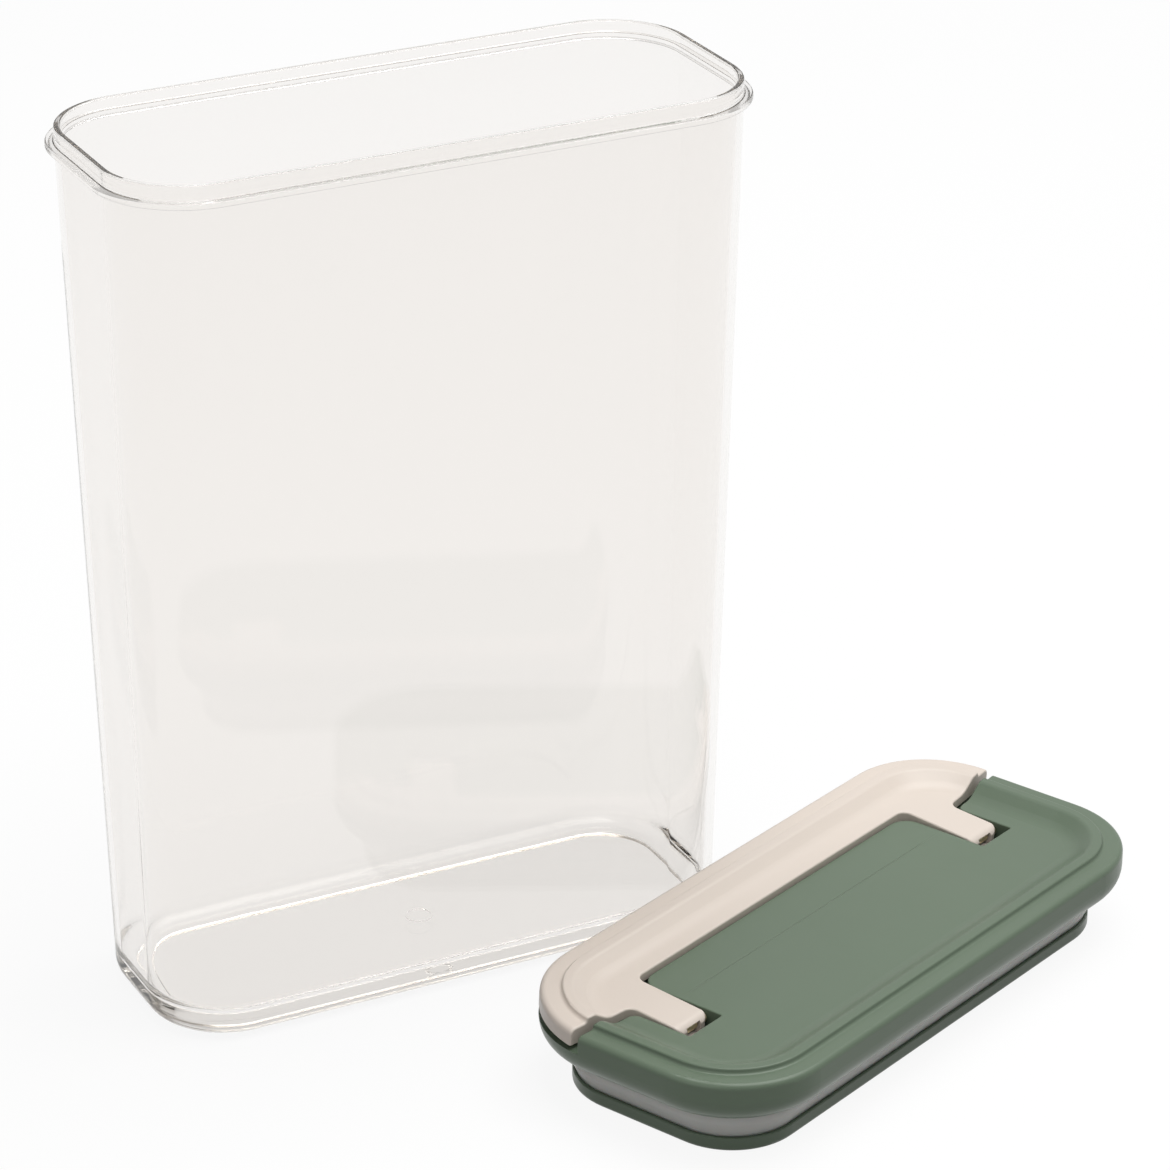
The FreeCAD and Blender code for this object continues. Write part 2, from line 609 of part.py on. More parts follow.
def gasket_seal():
    """Silicone ring between the plate and the seat, squeezed so that it bulges outwards."""
    foot = PLATE_CLEARANCE + SEAL_FOOT_INSET
    inner = SEAL_SPACE - SEAL_FIT
    low = PLATE_EDGE_HEIGHT
    high = SEAT_HEIGHT
    middle = (low + high) / 2
    profile = [(foot, low, 0),
               (foot, low + SEAL_FOOT_HEIGHT, 0),
               (-SEAL_BULGE, middle, SEAL_BULGE_RADIUS),
               (foot, high - SEAL_FOOT_HEIGHT, 0),
               (foot, high, 0),
               (inner, high, 0),
               (inner, high - SEAL_LAND, 0),
               (SEAL_WALL - SEAL_BULGE, middle, SEAL_BULGE_RADIUS - SEAL_WALL),
               (inner, low + SEAL_LAND, 0),
               (inner, low, 0)]
    return band(profile, NECK_INNER)


def laid_down(shape):
    """Turns and moves a piece of the lid from the lid's frame to where the lid lies."""
    placed = shape.copy()
    placed.rotate(Vector(0, 0, 0), Z_AXIS, LID_TURN)
    placed.translate(Vector(LID_X, LID_Y, 0))
    return placed


def main():
    """Builds every piece and writes each to its own file."""
    os.makedirs("parts", exist_ok=True)
    whole = lid_form()
    pieces = {"jar_body": jar_body()}
    lid = {"lid_cover": lid_cover(whole), "flip_lever": flip_lever(whole), "under_cover": under_cover(),
           "base_plate": base_plate(), "gasket_seal": gasket_seal()}
    for name, (x, y) in PILLARS.items():
        lid[name + "_screw"] = cover_screw(x, y)
    for name, make in (("pivot_pin", pivot_pin), ("follower_pin", follower_pin), ("pull_post", pull_post)):
        lid["right_" + name] = make()
        lid["left_" + name] = mirrored(make())
    pieces.update((name, laid_down(shape)) for name, shape in lid.items())
    for name, shape in pieces.items():
        shape.exportStep(f"parts/{name}.step")
        print(name, len(shape.Solids), "solid, volume", round(shape.Volume, 1), "valid", shape.isValid())


main()
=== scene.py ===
"""Looks of a clear slim storage jar and its sealing lid, which lies beside it."""

import json
import math

import bmesh
import bpy
from bpy.props import FloatProperty, FloatVectorProperty, PointerProperty
from mathutils import Matrix, Vector


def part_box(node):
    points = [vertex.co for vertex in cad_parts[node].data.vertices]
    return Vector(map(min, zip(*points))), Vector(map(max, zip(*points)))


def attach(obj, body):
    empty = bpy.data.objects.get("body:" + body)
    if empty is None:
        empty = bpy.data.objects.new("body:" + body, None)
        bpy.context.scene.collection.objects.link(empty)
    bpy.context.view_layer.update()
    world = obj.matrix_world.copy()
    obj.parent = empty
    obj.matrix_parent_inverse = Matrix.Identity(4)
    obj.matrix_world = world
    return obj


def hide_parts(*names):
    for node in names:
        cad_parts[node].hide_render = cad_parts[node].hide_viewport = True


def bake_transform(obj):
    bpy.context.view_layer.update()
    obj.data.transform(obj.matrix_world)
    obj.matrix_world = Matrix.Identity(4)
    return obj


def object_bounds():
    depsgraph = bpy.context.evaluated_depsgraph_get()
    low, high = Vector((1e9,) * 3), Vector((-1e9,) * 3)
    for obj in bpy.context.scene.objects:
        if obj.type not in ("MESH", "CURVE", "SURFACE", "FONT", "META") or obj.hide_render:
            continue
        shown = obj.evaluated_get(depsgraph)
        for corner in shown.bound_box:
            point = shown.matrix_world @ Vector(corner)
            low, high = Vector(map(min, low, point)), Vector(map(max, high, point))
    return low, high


bl_info = {
    "name": "Storage jar looks",
    "version": (1, 0, 0),
    "blender": (4, 5, 0),
    "location": "3D View > Sidebar > Storage Jar",
    "description": "Dresses a clear storage jar and its flip-lever lid and sets a plain studio round them",
    "category": "Object",
}

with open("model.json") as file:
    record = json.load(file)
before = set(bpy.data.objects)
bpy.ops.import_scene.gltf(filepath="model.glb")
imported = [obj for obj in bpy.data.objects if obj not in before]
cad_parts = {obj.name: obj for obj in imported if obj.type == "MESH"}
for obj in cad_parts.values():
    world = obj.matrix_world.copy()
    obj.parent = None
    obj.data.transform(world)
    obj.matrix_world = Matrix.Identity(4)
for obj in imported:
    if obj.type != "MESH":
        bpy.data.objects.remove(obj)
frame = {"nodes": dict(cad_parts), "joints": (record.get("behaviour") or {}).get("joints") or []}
CAD_BOX = [list(corner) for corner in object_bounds()]
JAR_LOW, JAR_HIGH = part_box("jar_body")
PLATE_LOW, PLATE_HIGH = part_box("base_plate")
LEVER_JOINT = next(joint for joint in frame["joints"] if joint["name"] == "lever_flip")
LID_TURN = math.atan2(LEVER_JOINT["axis"][1], LEVER_JOINT["axis"][0])
LID_PLACE = (PLATE_LOW + PLATE_HIGH) / 2

# Steps and gaps of the meshes
CORNER_STEPS = 24
SMALL_STEPS = 5
LARGE_STEPS = 12
WALL_STEPS = 8
STOREY = 0.02
MERGE_GAP = 1e-6
NEAR = 2e-5
FACE_WEIGHT = 100
ROUND_PROFILE = 0.5
OUTER_BULGE_SHARE = 1 / 2
INNER_BULGE_SHARE = 1 / 4

# Noise in the moulded skin, per metre
CLOUD_SCALE = 22
CLOUD_DETAIL = 3
SMEAR_SCALE = 60
SMEAR_DETAIL = 5
SMEAR_BEND = 0.6
SMEAR_SPAN = (0.3, 0.7)
GRAIN_DETAIL = 2
GRAIN_DEPTH = 0.0002
FINE_GRAIN = 2600
METAL_GRAIN = 1800

# Clear plastic and the marks of the moulds
CLEAR_INDEX = 1.5
CLEAR_DENSITY = 5
GATE_WIDTH_SHARE = 1 / 6
GATE_STRENGTH = 0.6
GATE_DEPTH = 0.0003
LINE_STRENGTH = 0.7
LINE_DEPTH = 0.0002

# How soft and how glossy the lid's plastics are
SEAL_SOFTNESS = 0.15
SEAL_SOFT_DEPTH = 0.002
GREEN_GLOSS = 0.32
BEIGE_GLOSS = 0.42

# Studio
OVERHEAD_SIZE = 1.3
OVERHEAD_PLACE = (0.42, -0.12, 1.5)
SIDE_SIZE = 0.9
SIDE_PLACE = (-1.3, -0.9, 0.9)
FLOOR_RADIUS = 30
FLOOR_SIDES = 96
FLOOR_DROP = 0.0002
HORIZON_GREY = 0.5
ROOM_GREY = 0.95
ROOM_RISE = 0.42
MOST_TURNS = 160
MOST_TURNS_OF_A_KIND = 128
SENSOR_WIDTH = 36
CLIP_START = 0.01
CLIP_END = 50


def length_of(name, description, default):
    """A length in metres that a user may change."""
    return FloatProperty(name=name, description=description, default=default, min=0, precision=5,
                         subtype="DISTANCE", unit="LENGTH")


def colour_of(name, description, default):
    """A colour that a user may change."""
    return FloatVectorProperty(name=name, description=description, default=default, size=3, min=0, max=1,
                               subtype="COLOR")


def amount_of(name, description, default, top=1.0):
    """A plain number that a user may change."""
    return FloatProperty(name=name, description=description, default=default, min=0, max=top)


class JarSizes(bpy.types.PropertyGroup):
    """Sizes of the clear jar."""
    flange_reach: length_of("Flange reach", "How far the flange stands out from the neck", 0.0025)
    flange_thickness: length_of("Flange thickness", "Height of the flange's edge", 0.0018)
    flange_edge: length_of("Flange edge", "Round on the flange's edges", 0.0006)
    flange_root: length_of("Flange root", "Round where the neck meets the flange", 0.0005)
    neck_wall: length_of("Neck wall", "Thickness of the wall at the neck", 0.002)
    neck_height: length_of("Neck height", "Height of the neck above the flange", 0.0042)
    rim_edge: length_of("Rim edge", "Round on the rim's two edges", 0.0007)
    corner: length_of("Corner", "Radius of the upright corners", 0.0246)
    lean: length_of("Lean", "How far each wall comes in from the neck to the foot", 0.0048)
    foot_radius: length_of("Foot radius", "Round between the walls and the underside", 0.0065)
    foot_wall: length_of("Foot wall", "Thickness of the wall at the foot", 0.0024)
    foot_land: length_of("Foot land", "Width of the ring that the jar stands on", 0.0012)
    floor_rise: length_of("Floor rise", "Height of the hollow under the floor", 0.001)
    floor_height: length_of("Floor height", "Height of the floor's upper side", 0.0066)
    floor_radius: length_of("Floor radius", "Round between the floor and the inner walls", 0.005)
    gate_radius: length_of("Gate radius", "Radius of the faint ring in the middle of the floor", 0.0038)
    recess_radius: length_of("Recess radius", "Round at the top of the hollow underside", 0.0006)


class SealSizes(bpy.types.PropertyGroup):
    """Sizes of the silicone ring between the plate and the cover."""
    low: length_of("Lower side", "Height of the ring's lower side", 0.0044)
    high: length_of("Upper side", "Height of the ring's upper side", 0.0176)
    foot_inset: length_of("Foot inset", "How far the ring's feet stand inside the neck's bore", 0.0023)
    foot_height: length_of("Foot height", "Height of the upright band at each foot", 0.0006)
    bulge: length_of("Bulge", "How far the ring's belly stands outside the neck's bore", 0.0008)
    bulge_radius: length_of("Bulge radius", "Round of the belly", 0.005)
    inner: length_of("Inner side", "How far the ring's inner side stands inside the neck's bore", 0.00395)
    wall: length_of("Wall", "Thickness of the ring's belly", 0.0022)
    land: length_of("Land", "Height of the inner band at each foot", 0.0026)


class PanelLine(bpy.types.PropertyGroup):
    """Sizes of the faint line that a rib below leaves on the cover's panel."""
    place: length_of("Line place", "How far the line lies behind the middle of the lid", 0.0088)
    reach: length_of("Line reach", "Half the length of the line", 0.0645)
    fade: length_of("Line fade", "Length over which the line's ends fade", 0.018)
    width: length_of("Line width", "Half the width of the line", 0.0003)
    low: length_of("Line low", "Height above which the panel has the line", 0.024)


class Finishes(bpy.types.PropertyGroup):
    """Colours of the finishes."""
    clear: colour_of("Clear plastic", "Tint of the jar's surface", (0.945, 0.93, 0.914))
    depth: colour_of("Clear depth", "Colour that the clear plastic takes in its depth", (0.45, 0.4, 0.33))
    mirror: colour_of("Clear mirror", "Strength of what the clear plastic mirrors", (0.5, 0.5, 0.5))
    green: colour_of("Green plastic", "Colour of the cover and the plate", (0.129, 0.176, 0.121))
    beige: colour_of("Beige plastic", "Colour of the lever", (0.745, 0.66, 0.585))
    white: colour_of("White plastic", "Colour of the posts", (0.78, 0.78, 0.76))
    silicone: colour_of("Silicone", "Colour of the seal", (0.66, 0.66, 0.63))
    brass: colour_of("Brass", "Colour of the pivot pins", (0.88, 0.78, 0.52))
    steel: colour_of("Steel", "Colour of the screws and follower pins", (0.6, 0.6, 0.61))


class Studio(bpy.types.PropertyGroup):
    """Camera and light."""
    camera_place: FloatVectorProperty(name="Camera place", description="Where the camera stands", size=3,
                                      default=(-0.504167, -1.107435, 0.684839), subtype="XYZ", unit="LENGTH")
    pitch: FloatProperty(name="Pitch", description="How far the camera looks down", subtype="ANGLE",
                         default=math.radians(25.14))
    turn: FloatProperty(name="Turn", description="Which way the camera looks round the upright axis",
                        subtype="ANGLE", default=math.radians(-26.82))
    lens: FloatProperty(name="Lens", description="Focal length in millimetres", default=143.839, min=1)
    sky: amount_of("Sky", "Strength of the light from all round", 0.3, 5)
    overhead: amount_of("Overhead", "Watts of the lamp above", 23.0, 100)
    side: amount_of("Side", "Watts of the lamp at the side", 2.2, 100)
    floor: colour_of("Floor", "Colour of the floor that is seen", (0.97, 0.97, 0.97))
    bounce: colour_of("Floor bounce", "Colour of the floor that lights the object", (0.32, 0.32, 0.32))
    glow: amount_of("Glow", "Share of plain white in what is seen of the floor", 0.91)


class StorageJar(bpy.types.PropertyGroup):
    """All the values of the storage jar's looks."""
    jar: PointerProperty(type=JarSizes)
    seal: PointerProperty(type=SealSizes)
    line: PointerProperty(type=PanelLine)
    finishes: PointerProperty(type=Finishes)
    studio: PointerProperty(type=Studio)


def grown(outline, amount):
    """The rounded rectangle that lies this far outside another one."""
    length, depth, corner = outline
    return length + 2 * amount, depth + 2 * amount, corner + amount


def rounded_loop(bm, outline, z):
    """Adds the edges of a rounded rectangle at a height."""
    length, depth, corner = outline
    place = Matrix.Translation((0, 0, z)) @ Matrix.Diagonal((length, depth, 1, 1))
    before = set(bm.edges)
    plate = bmesh.ops.create_grid(bm, x_segments=1, y_segments=1, size=0.5, matrix=place)
    bmesh.ops.bevel(bm, geom=plate["verts"], offset=corner, offset_type="OFFSET", segments=CORNER_STEPS,
                    profile=ROUND_PROFILE, affect="VERTICES", material=-1)
    edges = [edge for edge in bm.edges if edge not in before]
    fill = list({face for edge in edges for face in edge.link_faces})
    bmesh.ops.delete(bm, geom=fill, context="FACES_ONLY")
    return edges


def skinned(bm, sections, closed=False):
    """Joins rounded rectangles (outline, z) by walls, one after the other, and returns their edges.

    They are joined as a tower, one above the other, and then moved to their heights.
    """
    loops = [rounded_loop(bm, outline, STOREY * level) for level, (outline, z) in enumerate(sections)]
    for lower, upper in zip(loops, loops[1:]):
        bmesh.ops.bridge_loops(bm, edges=lower + upper)
    if closed:
        bmesh.ops.bridge_loops(bm, edges=loops[-1] + loops[0])
    for level, (loop, (outline, z)) in enumerate(zip(loops, sections)):
        lowered(bm, loop, STOREY * level - z)
    return loops


def lowered(bm, loop, drop):
    """Moves a loop of edges down."""
    verts = list({vertex for edge in loop for vertex in edge.verts})
    bmesh.ops.translate(bm, vec=(0, 0, -drop), verts=verts)


def along(start, end):
    """Sections (outline, z) that divide the wall between two others."""
    shares = [step / WALL_STEPS for step in range(1, WALL_STEPS)]
    first, last = (*start[0], start[1]), (*end[0], end[1])
    blend = [[a + (b - a) * share for a, b in zip(first, last)] for share in shares]
    return [(tuple(values[:3]), values[3]) for values in blend]


def ring(bm, outline, z):
    """The edges that lie on a rounded rectangle at a height."""
    length, depth, corner = outline

    def on_it(vertex):
        across = abs(vertex.co.x) - length / 2 + corner
        along = abs(vertex.co.y) - depth / 2 + corner
        gap = math.hypot(max(across, 0), max(along, 0)) + min(max(across, along), 0) - corner
        return abs(gap) < NEAR and abs(vertex.co.z - z) < NEAR

    return [edge for edge in bm.edges if all(on_it(vertex) for vertex in edge.verts)]


def rounded_off(bm, outline, z, radius, steps):
    """Rounds the ring of edges on a rounded rectangle at a height."""
    bmesh.ops.bevel(bm, geom=ring(bm, outline, z), offset=radius, offset_type="OFFSET", segments=steps,
                    profile=ROUND_PROFILE, affect="EDGES", material=-1)


def hollowed(bm, face, outline, depth, radius):
    """Sinks a hollow with a rounded ceiling into a level face that looks down."""
    around = list(face.edges)
    low = face.calc_center_median().z
    bmesh.ops.delete(bm, geom=[face], context="FACES_ONLY")
    mouth = rounded_loop(bm, outline, low + depth / 2)
    ceiling = rounded_loop(bm, outline, low + depth)
    bmesh.ops.bridge_loops(bm, edges=around + mouth)
    bmesh.ops.bridge_loops(bm, edges=mouth + ceiling)
    lowered(bm, mouth, depth / 2)
    bmesh.ops.edgeloop_fill(bm, edges=ceiling)
    bmesh.ops.recalc_face_normals(bm, faces=bm.faces)
    rounded_off(bm, outline, low + depth, radius, LARGE_STEPS)


def finished(bm, name, place=Matrix.Identity(4)):
    """Makes a smooth object of a mesh, moved to its place."""
    bmesh.ops.remove_doubles(bm, verts=bm.verts, dist=MERGE_GAP)
    bmesh.ops.recalc_face_normals(bm, faces=bm.faces)
    bmesh.ops.transform(bm, matrix=place, verts=bm.verts)
    mesh = bpy.data.meshes.new(name)
    bm.to_mesh(mesh)
    bm.free()
    mesh.shade_smooth()
    piece = bpy.data.objects.new(name, mesh)
    bpy.context.scene.collection.objects.link(piece)
    weighted = piece.modifiers.new("Weighted normals", "WEIGHTED_NORMAL")
    weighted.weight = FACE_WEIGHT
    return piece


def dressed(piece, material):
    """Gives a piece one material in place of those that it has."""
    piece.data.materials.clear()
    piece.data.materials.append(material)


def moulded_skin():
    """Node group for moulded plastic: fine grain, cloudy colour and smears of gloss."""
    found = bpy.data.node_groups.get("Moulded skin")
    if found:
        return found
    group = bpy.data.node_groups.new("Moulded skin", "ShaderNodeTree")
    sockets = (("Colour", "NodeSocketColor", "INPUT"), ("Cloud Colour", "NodeSocketColor", "INPUT"),
               ("Grain Scale", "NodeSocketFloat", "INPUT"), ("Low Roughness", "NodeSocketFloat", "INPUT"),
               ("High Roughness", "NodeSocketFloat", "INPUT"), ("Colour", "NodeSocketColor", "OUTPUT"),
               ("Roughness", "NodeSocketFloat", "OUTPUT"), ("Height", "NodeSocketFloat", "OUTPUT"))
    for name, kind, way in sockets:
        group.interface.new_socket(name, in_out=way, socket_type=kind)
    nodes, links = group.nodes, group.links
    given = nodes.new("NodeGroupInput")
    result = nodes.new("NodeGroupOutput")
    where = nodes.new("ShaderNodeTexCoord")
    cloud = nodes.new("ShaderNodeTexNoise")
    cloud.inputs["Scale"].default_value = CLOUD_SCALE
    cloud.inputs["Detail"].default_value = CLOUD_DETAIL
    smear = nodes.new("ShaderNodeTexNoise")
    smear.inputs["Scale"].default_value = SMEAR_SCALE
    smear.inputs["Detail"].default_value = SMEAR_DETAIL
    smear.inputs["Distortion"].default_value = SMEAR_BEND
    grain = nodes.new("ShaderNodeTexNoise")
    grain.inputs["Detail"].default_value = GRAIN_DETAIL
    tint = nodes.new("ShaderNodeMix")
    tint.data_type = "RGBA"
    gloss = nodes.new("ShaderNodeMapRange")
    gloss.inputs["From Min"].default_value = SMEAR_SPAN[0]
    gloss.inputs["From Max"].default_value = SMEAR_SPAN[1]
    for noise in (cloud, smear, grain):
        links.new(where.outputs["Object"], noise.inputs["Vector"])
    links.new(given.outputs["Grain Scale"], grain.inputs["Scale"])
    links.new(cloud.outputs["Fac"], tint.inputs["Factor"])
    links.new(given.outputs["Colour"], tint.inputs["A"])
    links.new(given.outputs["Cloud Colour"], tint.inputs["B"])
    links.new(smear.outputs["Fac"], gloss.inputs["Value"])
    links.new(given.outputs["Low Roughness"], gloss.inputs["To Min"])
    links.new(given.outputs["High Roughness"], gloss.inputs["To Max"])
    links.new(tint.outputs["Result"], result.inputs["Colour"])
    links.new(gloss.outputs["Result"], result.inputs["Roughness"])
    links.new(grain.outputs["Fac"], result.inputs["Height"])
    return group


def shaded(colour, share):
    """A colour made lighter or darker by a share."""
    return [min(1, part * share) for part in colour] + [1]


def moulded(name, colour, roughness, grain_scale, grain_strength, cloudiness=0.05):
    """Material with the moulded skin, and its shader for further values."""
    material = bpy.data.materials.new(name)
    material.use_nodes = True
    nodes, links = material.node_tree.nodes, material.node_tree.links
    shader = nodes["Principled BSDF"]
    skin = nodes.new("ShaderNodeGroup")
    skin.node_tree = moulded_skin()
    skin.inputs["Colour"].default_value = shaded(colour, 1 - cloudiness)
    skin.inputs["Cloud Colour"].default_value = shaded(colour, 1 + cloudiness)
    skin.inputs["Grain Scale"].default_value = grain_scale
    skin.inputs["Low Roughness"].default_value = roughness[0]
    skin.inputs["High Roughness"].default_value = roughness[1]
    bump = nodes.new("ShaderNodeBump")
    bump.inputs["Strength"].default_value = grain_strength
    bump.inputs["Distance"].default_value = GRAIN_DEPTH
    links.new(skin.outputs["Colour"], shader.inputs["Base Color"])
    links.new(skin.outputs["Roughness"], shader.inputs["Roughness"])
    links.new(skin.outputs["Height"], bump.inputs["Height"])
    links.new(bump.outputs["Normal"], shader.inputs["Normal"])
    return material, shader


def near(material, value, middle, full, end):
    """Socket that is 1 within a distance of a middle value and falls to 0 at a larger one."""
    nodes, links = material.node_tree.nodes, material.node_tree.links
    offset = nodes.new("ShaderNodeMath")
    offset.operation = "SUBTRACT"
    offset.inputs[1].default_value = middle
    gap = nodes.new("ShaderNodeMath")
    gap.operation = "ABSOLUTE"
    fall = nodes.new("ShaderNodeMapRange")
    fall.interpolation_type = "SMOOTHSTEP"
    fall.inputs["From Min"].default_value = full
    fall.inputs["From Max"].default_value = end
    fall.inputs["To Min"].default_value = 1
    fall.inputs["To Max"].default_value = 0
    links.new(value, offset.inputs[0])
    links.new(offset.outputs["Value"], gap.inputs[0])
    links.new(gap.outputs["Value"], fall.inputs["Value"])
    return fall.outputs["Result"]


def marked(material, shader, height, strength, depth, sunk=False):
    """Adds a raised or sunk mark to a material that has the moulded skin."""
    nodes, links = material.node_tree.nodes, material.node_tree.links
    bump = nodes.new("ShaderNodeBump")
    bump.invert = sunk
    bump.inputs["Strength"].default_value = strength
    bump.inputs["Distance"].default_value = depth
    grain = shader.inputs["Normal"].links[0].from_socket
    links.new(height, bump.inputs["Height"])
    links.new(grain, bump.inputs["Normal"])
    links.new(bump.outputs["Normal"], shader.inputs["Normal"])


class STORAGEJAR_OT_clear_jar(bpy.types.Operator):
    """Models the clear jar with smooth walls and gives it its plastic"""
    bl_idname = "storage_jar.clear_jar"
    bl_label = "Clear jar"

    def execute(self, context):
        sizes = context.scene.storage_jar.jar
        flange = JAR_HIGH - JAR_LOW
        neck = (flange.x - 2 * sizes.flange_reach, flange.y - 2 * sizes.flange_reach, sizes.corner)
        bore = grown(neck, -sizes.neck_wall)
        lip = grown(neck, sizes.flange_reach)
        foot = (neck[0] - 2 * sizes.lean, neck[1] - 2 * sizes.lean, sizes.corner)
        well = grown(foot, -sizes.foot_wall)
        hollow = grown(foot, -(sizes.foot_radius + sizes.foot_land))
        top = JAR_HIGH.z
        ledge = top - sizes.neck_height
        under = ledge - sizes.flange_thickness
        bm = bmesh.new()
        outside = along((foot, 0), (neck, under))
        inside = along((bore, top), (well, sizes.floor_height))
        loops = skinned(bm, [(foot, 0), *outside, (neck, under), (lip, under), (lip, ledge), (neck, ledge),
                             (neck, top), (bore, top), *inside, (well, sizes.floor_height)])
        for ends in (loops[0], loops[-1]):
            bmesh.ops.edgeloop_fill(bm, edges=ends)
        bmesh.ops.recalc_face_normals(bm, faces=bm.faces)
        for outline, z, radius in ((lip, under, sizes.flange_edge), (lip, ledge, sizes.flange_edge),
                                   (neck, ledge, sizes.flange_root), (neck, top, sizes.rim_edge),
                                   (bore, top, sizes.rim_edge)):
            rounded_off(bm, outline, z, radius, SMALL_STEPS)
        rounded_off(bm, well, sizes.floor_height, sizes.floor_radius, LARGE_STEPS)
        rounded_off(bm, foot, 0, sizes.foot_radius, LARGE_STEPS)
        underside = min(bm.faces, key=lambda face: face.calc_center_median().z)
        hollowed(bm, underside, hollow, sizes.floor_rise, sizes.recess_radius)
        jar = finished(bm, "clear_jar")
        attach(jar, "jar")
        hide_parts("jar_body")
        dressed(jar, self.clear_plastic(context.scene.storage_jar.finishes, sizes))
        return {"FINISHED"}

    def clear_plastic(self, finishes, sizes):
        """Polished clear plastic with faint smears."""
        material, shader = moulded("Clear plastic", finishes.clear, roughness=(0.0, 0.02), grain_scale=300,
                                   grain_strength=0.004, cloudiness=0.004)
        shader.inputs["Transmission Weight"].default_value = 1
        shader.inputs["IOR"].default_value = CLEAR_INDEX
        shader.inputs["Specular Tint"].default_value = (*finishes.mirror, 1)
        nodes, links = material.node_tree.nodes, material.node_tree.links
        inside = nodes.new("ShaderNodeVolumeAbsorption")
        inside.inputs["Color"].default_value = (*finishes.depth, 1)
        inside.inputs["Density"].default_value = CLEAR_DENSITY
        links.new(inside.outputs["Volume"], nodes["Material Output"].inputs["Volume"])
        self.gate_ring(material, shader, sizes)
        return material

    def gate_ring(self, material, shader, sizes):
        """Faint ring that the moulding leaves in the middle of the floor."""
        nodes, links = material.node_tree.nodes, material.node_tree.links
        where = nodes.new("ShaderNodeTexCoord")
        reach = nodes.new("ShaderNodeVectorMath")
        reach.operation = "DISTANCE"
        reach.inputs[1].default_value = (0, 0, sizes.floor_height)
        links.new(where.outputs["Object"], reach.inputs[0])
        ridge = near(material, reach.outputs["Value"], sizes.gate_radius, 0,
                     sizes.gate_radius * GATE_WIDTH_SHARE)
        marked(material, shader, ridge, GATE_STRENGTH, GATE_DEPTH)


class STORAGEJAR_OT_seal(bpy.types.Operator):
    """Models the silicone ring, which lies between the plate and the cover"""
    bl_idname = "storage_jar.seal"
    bl_label = "Silicone seal"

    def execute(self, context):
        sizes = context.scene.storage_jar.seal
        jar = context.scene.storage_jar.jar
        flange = JAR_HIGH - JAR_LOW
        bore = grown((flange.x, flange.y, jar.corner + jar.flange_reach), -(jar.flange_reach + jar.neck_wall))
        middle = (sizes.low + sizes.high) / 2
        feet = grown(bore, -sizes.foot_inset)
        inner = grown(bore, -sizes.inner)
        bm = bmesh.new()
        skinned(bm, [(feet, sizes.low), (feet, sizes.low + sizes.foot_height),
                     (grown(bore, sizes.bulge), middle), (feet, sizes.high - sizes.foot_height),
                     (feet, sizes.high), (inner, sizes.high), (inner, sizes.high - sizes.land),
                     (grown(bore, sizes.bulge - sizes.wall), middle),
                     (inner, sizes.low + sizes.land), (inner, sizes.low)], closed=True)
        bmesh.ops.recalc_face_normals(bm, faces=bm.faces)
        rounded_off(bm, grown(bore, sizes.bulge), middle, sizes.bulge_radius * OUTER_BULGE_SHARE,
                    LARGE_STEPS)
        rounded_off(bm, grown(bore, sizes.bulge - sizes.wall), middle,
                    sizes.bulge_radius * INNER_BULGE_SHARE, SMALL_STEPS)
        place = Matrix.Translation((LID_PLACE.x, LID_PLACE.y, 0)) @ Matrix.Rotation(LID_TURN, 4, "Z")
        seal = finished(bm, "silicone_seal", place)
        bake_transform(seal)
        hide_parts("gasket_seal")
        finishes = context.scene.storage_jar.finishes
        material, shader = moulded("Silicone", finishes.silicone, roughness=(0.45, 0.6), grain_scale=900,
                                   grain_strength=0.05)
        shader.inputs["Subsurface Weight"].default_value = SEAL_SOFTNESS
        shader.inputs["Subsurface Scale"].default_value = SEAL_SOFT_DEPTH
        dressed(seal, material)
        return {"FINISHED"}


